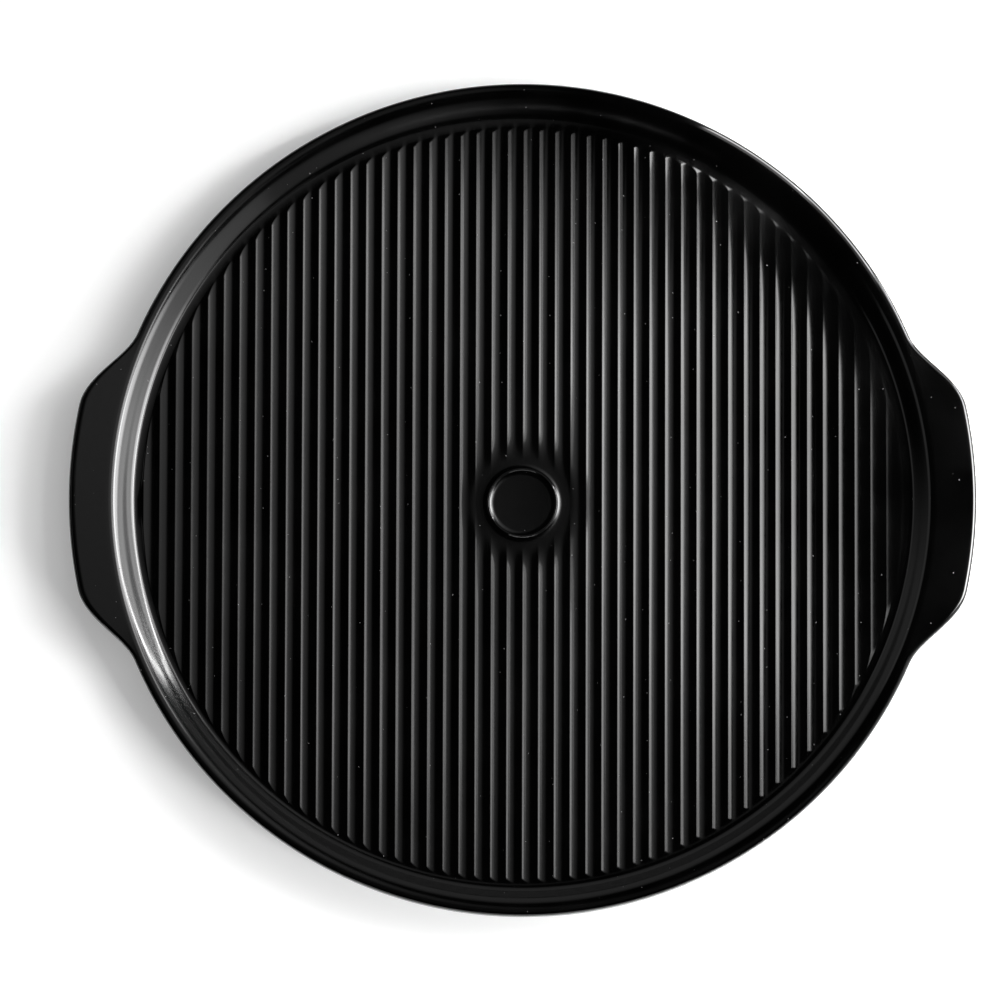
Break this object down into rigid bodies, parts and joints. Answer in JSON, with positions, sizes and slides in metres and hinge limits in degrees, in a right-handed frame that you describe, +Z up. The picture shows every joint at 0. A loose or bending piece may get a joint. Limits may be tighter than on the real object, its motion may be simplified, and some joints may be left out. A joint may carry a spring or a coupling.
{
  "type": "baking dish",
  "caption": "Round black-glazed ceramic baking dish for flat bread, with a ridged floor in a shallow well, lug handles swept out of the rim and a bare foot ring.",
  "frame": {"origin": "centre of the dish on the plane that the foot ring stands on", "axes": "+X through the right lug handle, +Y along the ridges, +Z up out of the well"},
  "size_m": [0.4, 0.3706, 0.021],
  "materials": {
    "fired_clay": "bare fired clay, matt, fine grain",
    "black_glaze": "gloss black glaze with fine pinholes"
  },
  "bodies": {
    "root": {"stoneware_body": "fired_clay", "glaze_coat": "black_glaze", "base_glaze": "black_glaze"}
  },
  "joints": []
}
